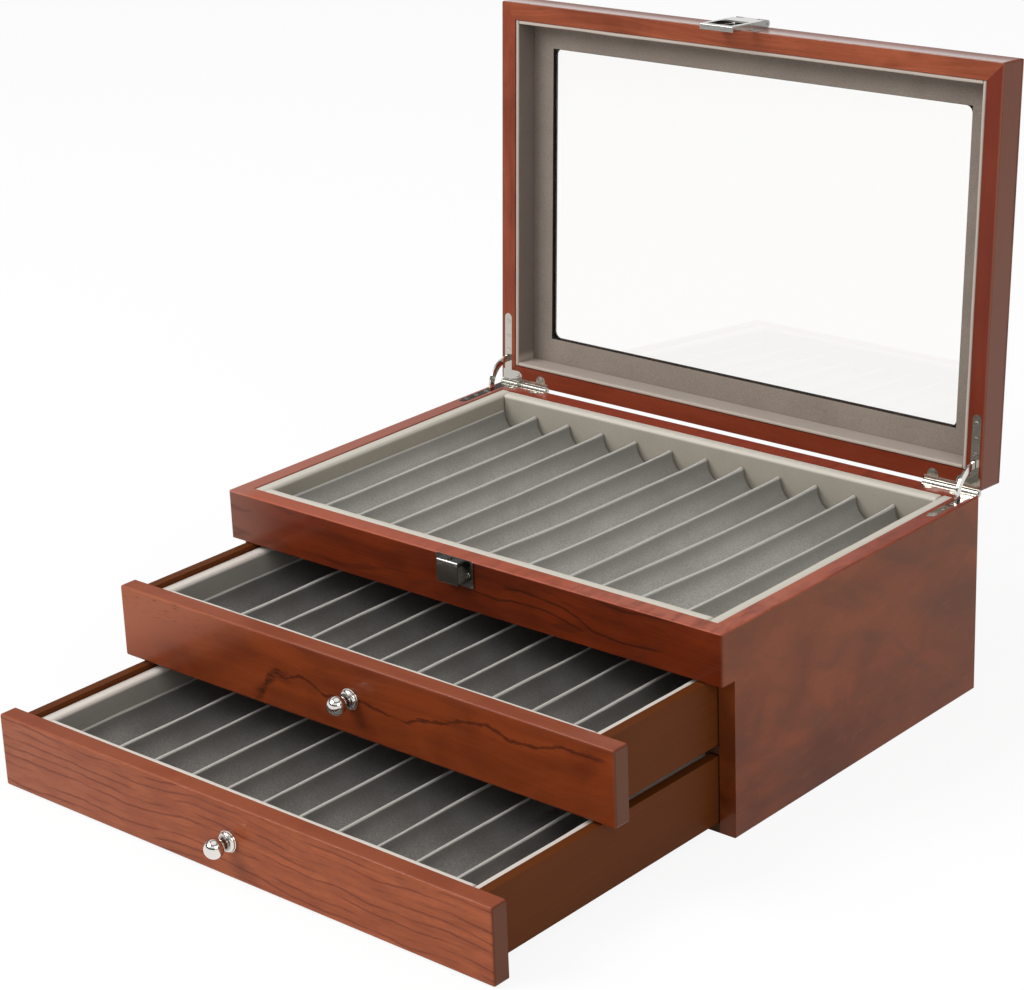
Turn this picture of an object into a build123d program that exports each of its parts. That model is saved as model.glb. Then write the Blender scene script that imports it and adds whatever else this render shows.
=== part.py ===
from build123d import *
import math
import os

# Fountain pen box: a veneered case with a pen tray under a glazed lid, and two drawers below it.
# The lid stands open on its two stays and both drawers are drawn out.
# Millimetres. X runs to the right, Y to the back, Z up; the origin is the centre of the underside.

# Case boards
case_width = 340.0
case_depth = 230.2
wall = 9.9
front_board = 10.0
fascia_height = 27.9
corner_round = 1.6
edge_ease = 0.9
housing_depth = 2.5
housing_stop = 6.0

# Levels of the drawers and the boards between them
bottom_reveal = 1.3
drawer_front_height = 40.8
front_gap = 1.7
fascia_gap = 0.9
drawer_lift = 4.2
slide_clearance = 0.4
divider_thickness = 4.5
tray_floor_thickness = 3.5

# Drawer boxes
drawer_side_play = 1.0
drawer_side_thickness = 5.5
drawer_bottom_thickness = 3.0
drawer_bottom_lift = 1.0
drawer_groove_depth = 2.5
drawer_top_step = 0.2
drawer_back_play = 2.0
front_edge_round = 1.4
upper_drawer_out = 83.2
lower_drawer_out = 171.4

# Knobs
knob_ball_radius = 4.9
knob_ball_bands = 9
knob_reach = 10.6
knob_neck_radius = 2.3
knob_flange_radius = 5.8
knob_flange_rim = 0.9
knob_dome_height = 3.2
knob_dome_shoulder = 0.35
knob_stud_radius = 1.5
knob_stud_length = 8.0

# Fabric linings and pen inserts
soft_gap = 0.3
tray_lining_thickness = 6.8
tray_lining_drop = 0.4
drawer_lining_thickness = 7.0
drawer_lining_drop = 2.6
lining_round = 2.0
lid_lining_round = 0.8
tray_slots = 12
drawer_slots = 11
slot_depth = 12.9
crest_half_width = 1.0
crest_rise = 0.6
tray_crest_drop = 9.4
drawer_crest_drop = 12.8
insert_end_gap = 0.7

# Lid
lid_height = 19.8
lid_rail = 10.2
lid_panel_thickness = 3.4
lid_gap = 0.3
lid_top_round = 2.0
window_side_border = 27.1
window_end_border = 27.4
window_corner = 4.0
glass_thickness = 1.8
glass_overlap = 3.5
glass_play = 0.2
mat_thickness = 1.3
lid_lining_thickness = 2.0
lid_lining_drop = 0.2
open_angle = 93.3

# Corner hinges with quadrant stays
pin_setback = 1.1
leaf_thickness = 1.2
leaf_inlay = 0.05
arm_width = 5.4
arm_reach = 43.4
leaf_depth = 8.3
leaf_web = 3.9
ear_radius = 3.6
ear_inset = 11.3
ear_margin = 5.3
barrel_radius = 2.1
barrel_inset = 1.0
barrel_length = 35.0
knuckle_count = 5
knuckle_gap = 0.2
barrel_clearance = 0.3
pin_radius = 0.8
pin_fit = 0.05
pin_proud = 0.3
stay_thickness = 1.2
stay_inner_radius = 13.6
stay_outer_radius = 17.4
stay_stop_lip = 0.5
stay_stop_start = 7.3
stay_stop_angle = 3.7
stay_play = 0.25
pocket_play = 0.6

# Hasp on the lid and catch on the case
latch_offset = -1.2
hasp_plate_width = 21.0
hasp_plate_low = 2.5
hasp_plate_thickness = 1.0
hasp_axis_height = 16.2
hasp_axis_out = 2.2
hasp_knuckle_radius = 2.1
hasp_knuckle_width = 5.4
hasp_pin_radius = 0.7
hasp_flap_width = 22.8
hasp_flap_hang = 17.2
hasp_sheet = 0.9
hasp_skirt_out = 1.2
hasp_window_width = 16.5
hasp_window_top = 2.6
hasp_bar = 2.9
hasp_flap_gap = 0.5
catch_width = 25.4
catch_height = 14.8
catch_sheet = 0.9
catch_drop = 0.2
staple_width = 14.0
staple_height = 13.0
staple_reach = 6.5
staple_bend = 0.7
staple_hole_radius = 1.5

# Levels and places worked out from the sizes above
case_top = (bottom_reveal + 2 * drawer_front_height + front_gap + fascia_gap + fascia_height)
fascia_bottom = case_top - fascia_height
case_right = case_width / 2
case_back = case_depth / 2
case_front = -case_back
bay_right = case_right - wall
bay_back = case_back - wall
bay_front = case_front + front_board
tray_floor_top = fascia_bottom + tray_floor_thickness
pin_y = case_back + pin_setback
pin_z = case_top + lid_gap / 2
rim_level = case_top + lid_gap
lid_panel_bottom = rim_level + lid_height - lid_panel_thickness
arm_middle = case_right - wall / 2
barrel_end = case_right - barrel_inset
knuckle_pitch = barrel_length / knuckle_count
stay_stop_inner = stay_inner_radius - stay_stop_lip
stay_stop_outer = stay_outer_radius + stay_stop_lip
stay_half_angle = open_angle / 2 + stay_stop_start + stay_stop_angle
pocket_depth = stay_stop_outer * math.sin(math.radians(stay_half_angle)) + pocket_play
pocket_end = stay_stop_inner * math.cos(math.radians(stay_half_angle)) - pocket_play


def block(low, high):
    """A box between two opposite corners."""
    size = [b - a for a, b in zip(low, high)]
    return Pos(*low) * Box(*size, align=(Align.MIN, Align.MIN, Align.MIN))


def slab(points, low_z, high_z):
    """A flat board of the given plan between two levels."""
    plan = make_face(Polyline(*points, close=True))
    return extrude(Pos(0, 0, low_z) * plan, high_z - low_z)


def rod(radius, start, end):
    """A round bar along X between two points on its axis."""
    bar = Cylinder(radius, end[0] - start[0], align=(Align.CENTER, Align.CENTER, Align.MIN))
    return Pos(*start) * Rot(0, 90, 0) * bar


def mirrored(shape):
    """The left-hand copy of a right-hand piece."""
    return mirror(shape, about=Plane.YZ)


def opened(shape):
    """A piece of the closed lid, turned up to the angle at which the stays stop it."""
    return shape.rotate(Axis((0, pin_y, pin_z), (1, 0, 0)), -open_angle)


def rounded_outline(width, height, top_round, bottom_round):
    """A rectangle with its upper and lower corners rounded by different radii."""
    outline = Rectangle(width, height)
    outline = fillet(outline.vertices().group_by(Axis.Y)[-1], top_round)
    return fillet(outline.vertices().group_by(Axis.Y)[0], bottom_round)


def eased_block(low, high, corner_round, top_round, bottom_round):
    """A block whose upright corners, top edges and bottom edges are each rounded."""
    width, depth, height = [b - a for a, b in zip(low, high)]
    body = extrude(RectangleRounded(width, depth, corner_round), height / 2, both=True)
    body &= extrude(Plane.XZ * rounded_outline(width, height, top_round, bottom_round), depth / 2, both=True)
    body &= extrude(Plane.YZ * rounded_outline(depth, height, top_round, bottom_round), width / 2, both=True)
    middle = [(a + b) / 2 for a, b in zip(low, high)]
    return Pos(*middle) * body


# Corner hinges

def knuckles(first):
    """Every second knuckle of the right-hand barrel, counted from the outer end."""
    parts = []
    for number in range(first, knuckle_count, 2):
        outer = barrel_end - number * knuckle_pitch - knuckle_gap / 2
        inner = outer - knuckle_pitch + knuckle_gap
        parts.append((inner, outer))
    return parts


def hinge_plan(level):
    """Plan of the right-hand hinge leaf: an arm along the side, and two rounded ears along the back."""
    straight = arm_reach - arm_width / 2
    arm = Pos(arm_middle, pin_y - straight / 2) * Rectangle(arm_width, straight)
    arm += Pos(arm_middle, pin_y - straight) * Circle(arm_width / 2)
    leaf = Pos(barrel_end - barrel_length / 2, pin_y - leaf_web / 2) * Rectangle(barrel_length, leaf_web)
    leaf += Pos(barrel_end - ear_inset / 2, pin_y - leaf_depth / 2) * Rectangle(ear_inset, leaf_depth)
    root = leaf_depth - ear_radius
    for place in (barrel_end - ear_inset, barrel_end - barrel_length + ear_margin):
        leaf += Pos(place, pin_y - root) * Circle(ear_radius)
        leaf += Pos(place, pin_y - root / 2) * Rectangle(2 * ear_radius, root)
    return Pos(0, 0, level) * (arm + leaf)


def hinge_leaf(up):
    """A right-hand hinge leaf with its share of the barrel; up is +1 for the lid, -1 for the case."""
    face = case_top - leaf_inlay if up < 0 else rim_level + leaf_inlay
    plate = extrude(hinge_plan(face), up * leaf_thickness)
    first = 0 if up < 0 else 1
    own = knuckles(first)
    other = knuckles(1 - first)
    for inner, outer in own:
        plate += rod(barrel_radius, (inner, pin_y, pin_z), (outer, pin_y, pin_z))
    for inner, outer in other:
        start = (inner - knuckle_gap, pin_y, pin_z)
        plate -= rod(barrel_radius + barrel_clearance, start, (outer + knuckle_gap, pin_y, pin_z))
    bore = (barrel_end - barrel_length - 1, pin_y, pin_z)
    plate -= rod(pin_radius + pin_fit, bore, (barrel_end + 1, pin_y, pin_z))
    slot_low = stay_inner_radius - stay_play
    slot_high = stay_outer_radius + stay_play
    slot_side = stay_thickness / 2 + stay_play
    plate -= block((arm_middle - slot_side, pin_y - slot_high, face - 2 * leaf_thickness),
                   (arm_middle + slot_side, pin_y - slot_low, face + 2 * leaf_thickness))
    return plate


def hinge_mortise(up):
    """What one right-hand leaf, its barrel and its stay take out of the wood."""
    face = case_top if up < 0 else rim_level
    cut = extrude(hinge_plan(face - up * leaf_inlay), up * (leaf_thickness + 2 * leaf_inlay))
    clear = barrel_radius + barrel_clearance
    cut += rod(clear, (barrel_end - barrel_length - barrel_inset, pin_y, pin_z), (case_right + 1, pin_y, pin_z))
    side = stay_thickness / 2 + pocket_play
    levels = sorted((face, face + up * pocket_depth))
    cut += block((arm_middle - side, pin_y - stay_stop_outer - pocket_play, levels[0]),
                 (arm_middle + side, pin_y - pocket_end, levels[1]))
    return cut


def hinge_pin():
    """A right-hand hinge pin, its ends just proud of the barrel."""
    left = barrel_end - barrel_length - pin_proud
    return rod(pin_radius, (left, pin_y, pin_z), (barrel_end + pin_proud, pin_y, pin_z))


def ring_sector(inner, outer, start, end):
    """Part of a ring about the hinge pin, in the YZ plane; angles rise from the front, over the top."""
    def at(radius, angle):
        turn = math.radians(angle)
        return (-radius * math.cos(turn), radius * math.sin(turn))
    middle = (start + end) / 2
    edge = ThreePointArc(at(inner, start), at(inner, middle), at(inner, end))
    edge += Line(at(inner, end), at(outer, end))
    edge += ThreePointArc(at(outer, end), at(outer, middle), at(outer, start))
    edge += Line(at(outer, start), at(inner, start))
    frame = Plane(origin=(arm_middle - stay_thickness / 2, pin_y, pin_z), x_dir=(0, 1, 0), z_dir=(1, 0, 0))
    return extrude(frame * make_face(edge.edges()), stay_thickness)


def quadrant_stay():
    """The right-hand stay: an arc about the hinge pin with a wider stop at each end."""
    first = -stay_stop_start
    last = open_angle + stay_stop_start
    stay = ring_sector(stay_inner_radius, stay_outer_radius, first - stay_stop_angle, last + stay_stop_angle)
    stay += ring_sector(stay_stop_inner, stay_stop_outer, first - stay_stop_angle, first)
    stay += ring_sector(stay_stop_inner, stay_stop_outer, last, last + stay_stop_angle)
    return stay


# Case

def envelope(low_z, high_z, top_round, bottom_round):
    """The outer form of the case or lid, its edges eased."""
    low = (-case_right, case_front, low_z)
    return eased_block(low, (case_right, case_back, high_z), corner_round, top_round, bottom_round)


def wall_plans(side, front, back):
    """Mitred plans of the four walls of a frame that is as wide and deep as the case."""
    outer = {"fl": (-case_right, case_front), "fr": (case_right, case_front),
             "br": (case_right, case_back), "bl": (-case_right, case_back)}
    inner = {"fl": (-case_right + side, case_front + front), "fr": (case_right - side, case_front + front),
             "br": (case_right - side, case_back - back), "bl": (-case_right + side, case_back - back)}
    ends = {"front": ("fl", "fr"), "right": ("fr", "br"), "back": ("br", "bl"), "left": ("bl", "fl")}
    return {name: (outer[a], outer[b], inner[b], inner[a]) for name, (a, b) in ends.items()}


def housed_board(low_z, high_z):
    """A board let into the side and back walls, its side housings stopped short of the front."""
    reach = bay_right + housing_depth
    board = block((-bay_right, bay_front, low_z), (bay_right, bay_back + housing_depth, high_z))
    return board + block((-reach, bay_front + housing_stop, low_z), (reach, bay_back + housing_depth, high_z))


def housed_boards():
    """The divider between the drawers and the floor of the pen tray."""
    divider_top = drawer_level(1) + drawer_lift - slide_clearance
    return {"drawer_divider": housed_board(divider_top - divider_thickness, divider_top),
            "tray_floor": housed_board(fascia_bottom, tray_floor_top)}


def drawer_level(number):
    """Height of the lower edge of a drawer's front; 0 is the lower drawer, 1 the upper."""
    return bottom_reveal + number * (drawer_front_height + front_gap)


def case_nodes():
    plans = wall_plans(wall, front_board, wall)
    form = envelope(0, case_top, edge_ease, edge_ease)
    mortise = hinge_mortise(-1)
    cuts = [mortise, mirrored(mortise)]
    boards = housed_boards()
    step = block((-case_right - 1, case_front - 1, -1), (case_right + 1, bay_front, fascia_bottom))
    nodes = {}
    for name in ("left", "right", "back"):
        panel = slab(plans[name], 0, case_top) & form
        panel -= step
        for cut in cuts + list(boards.values()):
            panel -= cut
        nodes[f"{name}_panel"] = panel
    nodes["fascia"] = slab(plans["front"], fascia_bottom, case_top) & form
    nodes.update(boards)
    bottom_top = drawer_level(0) + drawer_lift - slide_clearance
    nodes["bottom_board"] = block((-bay_right, bay_front, 0), (bay_right, bay_back, bottom_top))
    return nodes


# Linings and pen inserts

def padded_strip(low, high, along, shown, middle, edge_round):
    """One lining strip, its shown edge on the side of the middle rounded: -1 is the top, 0 the bottom."""
    strip = block(low, high)
    edges = strip.edges().filter_by(along).group_by(Axis.Z)[shown]
    return fillet(edges.sort_by_distance(middle)[0], edge_round)


def lining_boards(right, front, back, thickness, low_z, high_z, edge_round, shown=-1):
    """Four padded strips round the inside of a box."""
    inner = right - thickness - soft_gap
    finish = (shown, (0, (front + back) / 2, low_z), edge_round)
    side = padded_strip((right - thickness, front, low_z), (right, back, high_z), Axis.Y, *finish)
    rear = padded_strip((-inner, back - thickness, low_z), (inner, back, high_z), Axis.X, *finish)
    fore = padded_strip((-inner, front, low_z), (inner, front + thickness, high_z), Axis.X, *finish)
    return [side, mirrored(side), rear, fore]


def insert_strip(pitch, depth, base):
    """Section of one ridge of the pen insert: half a channel on each side of an eased crest."""
    half = pitch / 2
    crest = crest_half_width
    crown = crest / 2
    rise = depth - crest_rise
    radius = ((half - crest) ** 2 + rise ** 2) / (2 * rise)
    middle = math.atan2(half - crest, radius - rise) / 2
    middle_x = half - radius * math.sin(middle)
    middle_z = radius - radius * math.cos(middle)
    top = Polyline((-crest, rise), (-crown, depth), (crown, depth), (crest, rise))
    right = ThreePointArc((crest, rise), (middle_x, middle_z), (half, 0))
    left = ThreePointArc((-half, 0), (-middle_x, middle_z), (-crest, rise))
    foot = Polyline((half, 0), (half, -base), (-half, -base), (-half, 0))
    return make_face((top + right + foot + left).edges())


def pen_insert(right, front, back, slots, crest_level, floor_level):
    """Ridge strips side by side; the outermost two are half strips against the lining."""
    pitch = 2 * right / slots
    base = crest_level - slot_depth - floor_level
    section = insert_strip(pitch, slot_depth, base)
    strip = extrude(Plane(origin=(0, front, 0), x_dir=(1, 0, 0), z_dir=(0, -1, 0)) * section, -(back - front))
    limits = block((-right, front - 1, floor_level - 1), (right, back + 1, crest_level + 1))
    strips = [Pos(-right + number * pitch, 0, crest_level - slot_depth) * strip for number in range(slots + 1)]
    return [piece & limits if number in (0, slots) else piece for number, piece in enumerate(strips)]


def tray_nodes():
    right = bay_right - soft_gap
    front = bay_front + soft_gap
    back = bay_back - soft_gap
    low = tray_floor_top + soft_gap
    high = case_top - tray_lining_drop
    lining = lining_boards(right, front, back, tray_lining_thickness, low, high, lining_round)
    edge = tray_lining_thickness + soft_gap
    insert = pen_insert(right - edge, front + edge, back - edge - insert_end_gap,
                        tray_slots, high - tray_crest_drop, low)
    return {"tray_lining": lining, "tray_insert": insert}


# Drawers

def knob(front_y, level):
    """Ball on a short neck, rising from a domed flange, with a stud that screws into the drawer's front."""
    touch = math.sqrt(knob_ball_radius ** 2 - knob_neck_radius ** 2)
    shoulder = knob_flange_rim + (knob_dome_height - knob_flange_rim) * (1 - knob_dome_shoulder)
    shoulder_radius = knob_flange_radius - (knob_flange_radius - knob_neck_radius) * knob_dome_shoulder
    outline = [(0, -knob_stud_length), (knob_stud_radius, -knob_stud_length), (knob_stud_radius, 0),
               (knob_flange_radius, 0), (knob_flange_radius, knob_flange_rim),
               (shoulder_radius, shoulder), (knob_neck_radius, knob_dome_height)]
    start = math.atan2(knob_neck_radius, -touch)
    for band in range(knob_ball_bands):
        turn = start * (1 - band / knob_ball_bands)
        outline.append((knob_ball_radius * math.sin(turn), knob_reach + knob_ball_radius * math.cos(turn)))
    outline.append((0, knob_reach + knob_ball_radius))
    turned = revolve(Plane.XZ * make_face(Polyline(*outline, close=True)), Axis.Z)
    return Pos(0, front_y, level) * Rot(90, 0, 0) * turned


def drawer_nodes(prefix, number, drawn_out):
    """One drawer: front, box, lining, insert and knob, drawn out by the given length."""
    shift = Pos(0, -drawn_out, 0)
    low = drawer_level(number)
    high = low + drawer_front_height
    box_low = low + drawer_lift
    box_high = high - drawer_top_step
    right = bay_right - drawer_side_play
    inner = right - drawer_side_thickness
    back = bay_back - drawer_back_play
    bottom_low = box_low + drawer_bottom_lift
    bottom_high = bottom_low + drawer_bottom_thickness
    front = block((-case_right, case_front, low), (case_right, bay_front, high))
    shown = front.faces().sort_by(Axis.Y)[0].edges() + front.edges().filter_by(Axis.Y)
    front = fillet(shown, front_edge_round)
    knob_level = (low + high) / 2
    bottom = block((-inner - drawer_groove_depth, bay_front, bottom_low),
                   (inner + drawer_groove_depth, back, bottom_high))
    side = block((inner, bay_front, box_low), (right, back, box_high)) - bottom
    rear = block((-inner, back - drawer_side_thickness, bottom_high), (inner, back, box_high))
    pull = knob(case_front, knob_level)
    inner_back = back - drawer_side_thickness - soft_gap
    floor = bottom_high + soft_gap
    lining_top = box_high - drawer_lining_drop
    lining = lining_boards(inner - soft_gap, bay_front + soft_gap, inner_back, drawer_lining_thickness,
                           floor, lining_top, lining_round)
    edge = drawer_lining_thickness + soft_gap
    insert = pen_insert(inner - soft_gap - edge, bay_front + soft_gap + edge, inner_back - edge - insert_end_gap,
                        drawer_slots, lining_top - drawer_crest_drop, floor)
    nodes = {"front": front - pull, "left_side": mirrored(side), "right_side": side, "back": rear,
             "bottom": bottom, "lining": lining, "insert": insert, "knob": pull}
    return {f"{prefix}_{name}": moved(piece, shift) for name, piece in nodes.items()}


def moved(piece, shift):
    """A piece, or a list of pieces, set at its place."""
    return [shift * one for one in piece] if isinstance(piece, list) else shift * piece


# Lid, modelled closed on the case

def lid_nodes():
    plans = wall_plans(lid_rail, lid_rail, lid_rail)
    top = rim_level + lid_height
    form = envelope(rim_level, top, lid_top_round, edge_ease / 2)
    mortise = hinge_mortise(1)
    cuts = [mortise, mirrored(mortise)]
    nodes = {}
    for name, plan in plans.items():
        rail = slab(plan, rim_level, lid_panel_bottom) & form
        for cut in cuts:
            rail -= cut
        nodes[f"lid_{name}_rail"] = rail
    window = (case_width - 2 * window_side_border, case_depth - 2 * window_end_border)
    opening = RectangleRounded(*window, window_corner)
    glass_size = (window[0] + 2 * glass_overlap, window[1] + 2 * glass_overlap)
    rebate = Rectangle(glass_size[0] + 2 * glass_play, glass_size[1] + 2 * glass_play)
    panel = block((-case_right, case_front, lid_panel_bottom), (case_right, case_back, top)) & form
    panel -= extrude(Pos(0, 0, lid_panel_bottom) * opening, lid_panel_thickness)
    panel -= extrude(Pos(0, 0, lid_panel_bottom) * rebate, glass_thickness + glass_play)
    nodes["lid_top_panel"] = panel
    nodes["lid_glass"] = extrude(Pos(0, 0, lid_panel_bottom + glass_play) * Rectangle(*glass_size), glass_thickness)
    lining_right = case_right - lid_rail - soft_gap
    lining_back = case_back - lid_rail - soft_gap
    mat = Rectangle(2 * lining_right, 2 * lining_back) - opening
    nodes["window_mat"] = extrude(Pos(0, 0, lid_panel_bottom - mat_thickness) * mat, mat_thickness)
    strips = lining_boards(lining_right, -lining_back, lining_back, lid_lining_thickness,
                           rim_level + lid_lining_drop, lid_panel_bottom - mat_thickness - soft_gap,
                           lid_lining_round, shown=0)
    nodes["lid_lining"] = strips
    return nodes


# Hasp and catch

def catch():
    """A plate with a box-shaped staple folded out of the same sheet, open at both sides."""
    top = case_top - catch_drop
    plate = block((-catch_width / 2, case_front - catch_sheet, top - catch_height),
                  (catch_width / 2, case_front, top))
    plate = fillet(plate.edges().filter_by(Axis.Y), staple_bend)
    outer = block((-staple_width / 2, case_front - staple_reach, top - staple_height),
                  (staple_width / 2, case_front, top))
    front_edges = outer.edges().filter_by(Axis.X).sort_by(Axis.Y)[:2]
    outer = fillet(front_edges, staple_bend)
    eye = block((-staple_width, case_front - staple_reach + catch_sheet, top - staple_height + catch_sheet),
                (staple_width, case_front - catch_sheet, top - catch_sheet))
    hole = Cylinder(staple_hole_radius, 2 * catch_sheet)
    hole = Pos(0, case_front - staple_reach / 2, top) * hole
    return plate + outer - eye - hole


def hasp_axis():
    return case_front - hasp_axis_out, rim_level + hasp_axis_height


def hasp_ring(left, right):
    """A length of the hasp's rolled barrel, with no bore."""
    y, z = hasp_axis()
    return rod(hasp_knuckle_radius, (left, y, z), (right, y, z))


def hasp_bore(radius):
    y, z = hasp_axis()
    return rod(radius, (-hasp_flap_width, y, z), (hasp_flap_width, y, z))


def hasp_plate():
    """The plate on the lid's front rail, its upper corners rolled into two knuckles."""
    y, z = hasp_axis()
    half = hasp_plate_width / 2
    plate = block((-half, case_front - hasp_plate_thickness, rim_level + hasp_plate_low), (half, case_front, z))
    middle = half - hasp_knuckle_width + knuckle_gap
    notch_low = z - hasp_knuckle_radius - hasp_flap_gap
    plate -= block((-middle, case_front - hasp_plate_thickness - 1, notch_low), (middle, case_front + 1, z + 1))
    for left, right in ((-half, -half + hasp_knuckle_width), (half - hasp_knuckle_width, half)):
        plate += hasp_ring(left, right)
    plate -= block((-half, case_front, rim_level), (half, case_front + hasp_knuckle_radius, z + 5))
    return plate - hasp_bore(hasp_pin_radius + pin_fit)


def hasp_pin():
    y, z = hasp_axis()
    half = hasp_plate_width / 2
    return rod(hasp_pin_radius, (-half - pin_proud, y, z), (half + pin_proud, y, z))


def hasp_flap():
    """A shallow folded tray, hinged at its upper edge, with a window that drops over the staple."""
    y, z = hasp_axis()
    outer_y = y - hasp_knuckle_radius
    half = hasp_flap_width / 2
    low = rim_level - hasp_flap_hang
    high = z - hasp_knuckle_radius - hasp_flap_gap
    tray = block((-half, outer_y, low), (half, case_front - hasp_skirt_out, high))
    tray = fillet(tray.edges().filter_by(Axis.Y).sort_by(Axis.Z)[:2], staple_bend)
    front_edges = tray.faces().sort_by(Axis.Y)[0].edges()
    tray = fillet(front_edges, hasp_sheet / 2)
    tray -= block((-half + hasp_sheet, outer_y + hasp_sheet, low + hasp_sheet),
                  (half - hasp_sheet, case_front, high + 1))
    window_low = low + hasp_bar
    tray -= block((-hasp_window_width / 2, outer_y - 1, window_low),
                  (hasp_window_width / 2, case_front, rim_level + hasp_window_top))
    middle = hasp_plate_width / 2 - hasp_knuckle_width - knuckle_gap
    tray += block((-middle, outer_y, high - 1), (middle, outer_y + hasp_sheet, z))
    tray += hasp_ring(-middle, middle)
    return tray - hasp_bore(hasp_pin_radius + pin_fit)


# The whole box

def all_nodes():
    nodes = case_nodes()
    nodes.update(tray_nodes())
    case_leaf = hinge_leaf(-1)
    nodes["left_case_leaf"] = mirrored(case_leaf)
    nodes["right_case_leaf"] = case_leaf
    nodes["left_hinge_pin"] = mirrored(hinge_pin())
    nodes["right_hinge_pin"] = hinge_pin()
    nodes["left_stay"] = mirrored(quadrant_stay())
    nodes["right_stay"] = quadrant_stay()
    nodes["catch"] = Pos(latch_offset, 0, 0) * catch()
    lid = lid_nodes()
    lid_leaf = hinge_leaf(1)
    lid["left_lid_leaf"] = mirrored(lid_leaf)
    lid["right_lid_leaf"] = lid_leaf
    lid["hasp_plate"] = Pos(latch_offset, 0, 0) * hasp_plate()
    lid["hasp_pin"] = Pos(latch_offset, 0, 0) * hasp_pin()
    lid["hasp_flap"] = Pos(latch_offset, 0, 0) * hasp_flap()
    for name, piece in lid.items():
        nodes[name] = [opened(one) for one in piece] if isinstance(piece, list) else opened(piece)
    nodes.update(drawer_nodes("upper_drawer", 1, upper_drawer_out))
    nodes.update(drawer_nodes("lower_drawer", 0, lower_drawer_out))
    return nodes


os.makedirs("parts", exist_ok=True)
for node, shape in all_nodes().items():
    solid = Compound(children=list(shape)) if isinstance(shape, list) else shape
    export_step(solid, f"parts/{node}.step")
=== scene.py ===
import math

import bmesh
import bpy
from mathutils import Matrix, Vector, noise


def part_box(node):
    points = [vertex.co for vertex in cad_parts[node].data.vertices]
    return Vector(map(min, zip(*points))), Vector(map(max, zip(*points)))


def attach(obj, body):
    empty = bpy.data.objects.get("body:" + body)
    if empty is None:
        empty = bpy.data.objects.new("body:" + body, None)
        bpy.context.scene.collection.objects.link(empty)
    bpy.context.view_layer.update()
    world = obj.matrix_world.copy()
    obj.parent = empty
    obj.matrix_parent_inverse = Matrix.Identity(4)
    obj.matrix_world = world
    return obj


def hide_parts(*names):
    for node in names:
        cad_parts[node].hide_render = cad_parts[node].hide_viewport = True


# Fountain pen box with its lid open and both drawers drawn out, on a white table.
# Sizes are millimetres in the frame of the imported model: X right, Y back, Z up. Only the lamps, the camera's
# place and the rim of the table are in metres.

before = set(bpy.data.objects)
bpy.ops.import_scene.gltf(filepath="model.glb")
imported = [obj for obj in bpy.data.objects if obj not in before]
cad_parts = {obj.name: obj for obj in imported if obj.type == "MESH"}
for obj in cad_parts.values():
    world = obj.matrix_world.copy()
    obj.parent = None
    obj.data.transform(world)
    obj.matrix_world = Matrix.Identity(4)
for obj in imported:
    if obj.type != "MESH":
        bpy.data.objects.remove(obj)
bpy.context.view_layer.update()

MM = 0.001

# Lid, as it lies closed
open_angle = 93.3
pin_depth = 116.2
pin_level = 113.55
rim_level = 113.7
panel_level = 130.1
lid_half_width = 170.0
lid_half_depth = 115.1
lid_rail = 10.2
window_half_width = 142.9
window_half_depth = 87.7
window_corner = 4.0
mat_thickness = 1.3
lid_padding = 2.0
lid_padding_drop = 0.2

# Case
case_top = 113.4
case_front = -115.1
upper_front = -198.3
upper_front_top = 84.6
lower_front = -286.5
lower_front_top = 42.1

# Padding and pen channels
soft_gap = 0.3
tray_padding = 6.8
tray_padding_top = 113.0
upper_padding_top = 81.8
lower_padding_top = 39.3
tray_crest = 103.6
upper_crest = 69.0
lower_crest = 26.5
drawer_padding = 7.0
padding_round = 2.2
tray_channels = 12
drawer_channels = 11
channel_depth = 12.9
crest_half_width = 1.0
crest_round = 0.6
crest_sway = 0.5
crest_lift = 0.5
crest_tip_lift = 0.9
crest_tip_reach = 7

# Inside of the lid's rails
lid_inner_half_width = lid_half_width - lid_rail - soft_gap
lid_inner_half_depth = lid_half_depth - lid_rail - soft_gap

# How far each crest leans sideways, read off the photograph; the tray's lean more and more towards the front
tray_lean = (0, -0.5, -1.0, -2.2, -2.2, -6.0, -8.6, -6.4, -3.4, -8.8, -8.4, -3.6, 0)
upper_lean = (0, 4.4, 4.6, 3.3, 2.2, 0.2, -0.6, -2.5, -3.1, -4.0, -4.2, 0)
lower_lean = (0, 4.4, 4.4, 5.6, 4.9, 3.7, 2.7, 2.5, 1.2, 0.3, -0.4, 0)

# Knobs
knob_stud = 8.0
knob_ball = 5.25
knob_reach = 9.75
knob_neck = 3.0
knob_flange = 5.8
knob_waist = 4.1

# Screws; in the hinge leaves they start leaf_screw_rise off the wood
hinge_screw_radius = 1.55
hinge_screw_proud = 0.06
leaf_screw_rise = 0.05
arm_middle = 165.05
arm_screws = (20.6, 29.4, 38.2)
leaf_screws = (157.7, 139.3)
leaf_screw_setback = 5.9
plate_screw_radius = 1.4
plate_screw_proud = 0.25

# Hasp and catch
latch_offset = -1.2
catch_sheet = 0.9
catch_screw_spread = 9.3
catch_screw_drop = 8.2
hasp_plate_thickness = 1.0
hasp_screw_spread = 6.8
hasp_screw_rise = 7.4

# Places where a finish changes, with the lid open
hasp_rail_top = (343.6, 344.4)
front_right_end = (169.3, 169.8)

# Camera of the photograph: its place in metres, its turns in degrees and its lens in millimetres
camera_place = (0.9004, -1.0846, 0.6451)
camera_yaw = 41.596
camera_pitch = 20.66
camera_roll = -2.258
camera_lens = 97.23

# Takes a place in the closed lid to its place in the open lid
opened = (Matrix.Translation((0, pin_depth, pin_level)) @ Matrix.Rotation(math.radians(-open_angle), 4, "X")
          @ Matrix.Translation((0, -pin_depth, -pin_level)))


# Shading

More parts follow.
